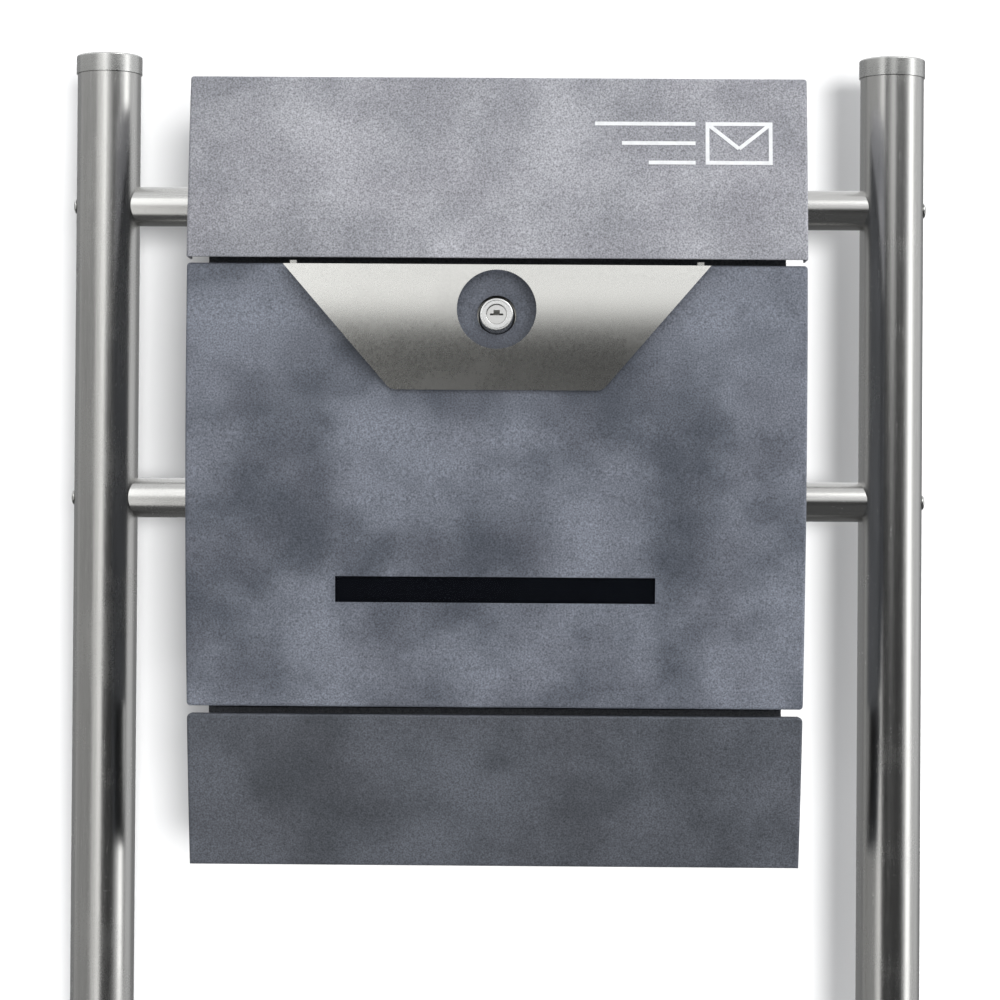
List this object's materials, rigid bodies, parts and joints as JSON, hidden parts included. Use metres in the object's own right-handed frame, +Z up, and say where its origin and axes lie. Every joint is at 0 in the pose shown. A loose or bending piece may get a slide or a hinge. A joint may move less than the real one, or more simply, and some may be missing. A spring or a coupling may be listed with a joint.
{
  "type": "mailbox on a stand",
  "caption": "Bowed sheet-metal mailbox with a lift-up lid, a lockable drop-down door with viewing slot and an open newspaper tray, on a two-post tubular stand.",
  "frame": {"origin": "on the floor, at the centre of the footprint box of the whole object", "axes": "+Z up along the posts, +X to the right of someone facing the door, +Y away from them, so the door faces -Y"},
  "size_m": [0.596, 0.199, 1.2],
  "materials": {
    "stand_steel": "satin-brushed stainless tube, grain along the tube",
    "cap_steel": "turned stainless",
    "foot_steel": "ground stainless plate with weld",
    "tube_plug_plastic": "moulded, ribbed",
    "fastener_steel": "bright zinc-plated or stainless",
    "rivet_nut_steel": "zinc plated",
    "body_paint": "dark grey powder coat, fine texture",
    "lid_paint": "clouded lilac-grey powder coat, fine texture",
    "door_paint": "clouded blue-grey powder coat, fine texture",
    "tray_paint": "clouded blue-grey powder coat, fine texture",
    "bumper_rubber": "matt",
    "sign_white": "printed, matt",
    "trim_steel": "fine satin brushed across",
    "pane_clear": "clear acrylic",
    "lock_chrome": "satin chrome",
    "lock_zinc": "zinc plated"
  },
  "bodies": {
    "housing": {"post_left": "stand_steel", "post_right": "stand_steel", "post_cap_left": "cap_steel", "post_cap_right": "cap_steel", "foot_plate_left": "foot_steel", "foot_plate_right": "foot_steel", "foot_welds": "foot_steel", "cross_tube_upper": "stand_steel", "cross_tube_lower": "stand_steel", "cross_tube_plugs": "tube_plug_plastic", "cross_tube_screws": "fastener_steel", "box_bolts": "fastener_steel", "box_washers": "fastener_steel", "rivet_nuts": "rivet_nut_steel", "back_panel": "body_paint", "side_panel_left": "body_paint", "side_panel_right": "body_paint", "roof_panel": "body_paint", "floor_panel": "body_paint", "slot_frame": "body_paint", "mail_baffle": "body_paint", "lid_bumpers": "bumper_rubber", "newspaper_tray": "tray_paint", "tray_rivets": "fastener_steel"},
    "lid": {"lid_cover": "lid_paint", "lid_hinge_rod": "fastener_steel", "lid_rod_clips": "fastener_steel", "lid_sign": "sign_white"},
    "door": {"door_skin": "door_paint", "door_hinge_lugs": "body_paint", "door_hinge_pins": "fastener_steel", "window_pane": "pane_clear", "pane_rail_upper": "body_paint", "pane_rail_lower": "body_paint", "trim_plate": "trim_steel", "trim_studs": "fastener_steel", "trim_spacers": "fastener_steel", "trim_nuts": "fastener_steel", "lock_bracket": "body_paint", "lock_body": "lock_chrome", "lock_nut": "lock_zinc"},
    "lock": {"lock_plug": "lock_chrome", "lock_cam": "lock_zinc", "cam_screw": "fastener_steel"}
  },
  "joints": [
    {"name": "lid_hinge", "type": "hinge", "parent": "housing", "child": "lid", "pos_m": [0, 0.00297, 1.1635], "axis": [-1, 0, 0], "range_deg": [0, 70]},
    {"name": "door_hinge", "type": "hinge", "parent": "housing", "child": "door", "pos_m": [0, -0.06815, 0.8011], "axis": [1, 0, 0], "range_deg": [0, 90]},
    {"name": "lock_turn", "type": "hinge", "parent": "door", "child": "lock", "pos_m": [0, -0.0925, 1.028], "axis": [0, -0.9903, 0.1392], "range_deg": [0, 90]}
  ]
}
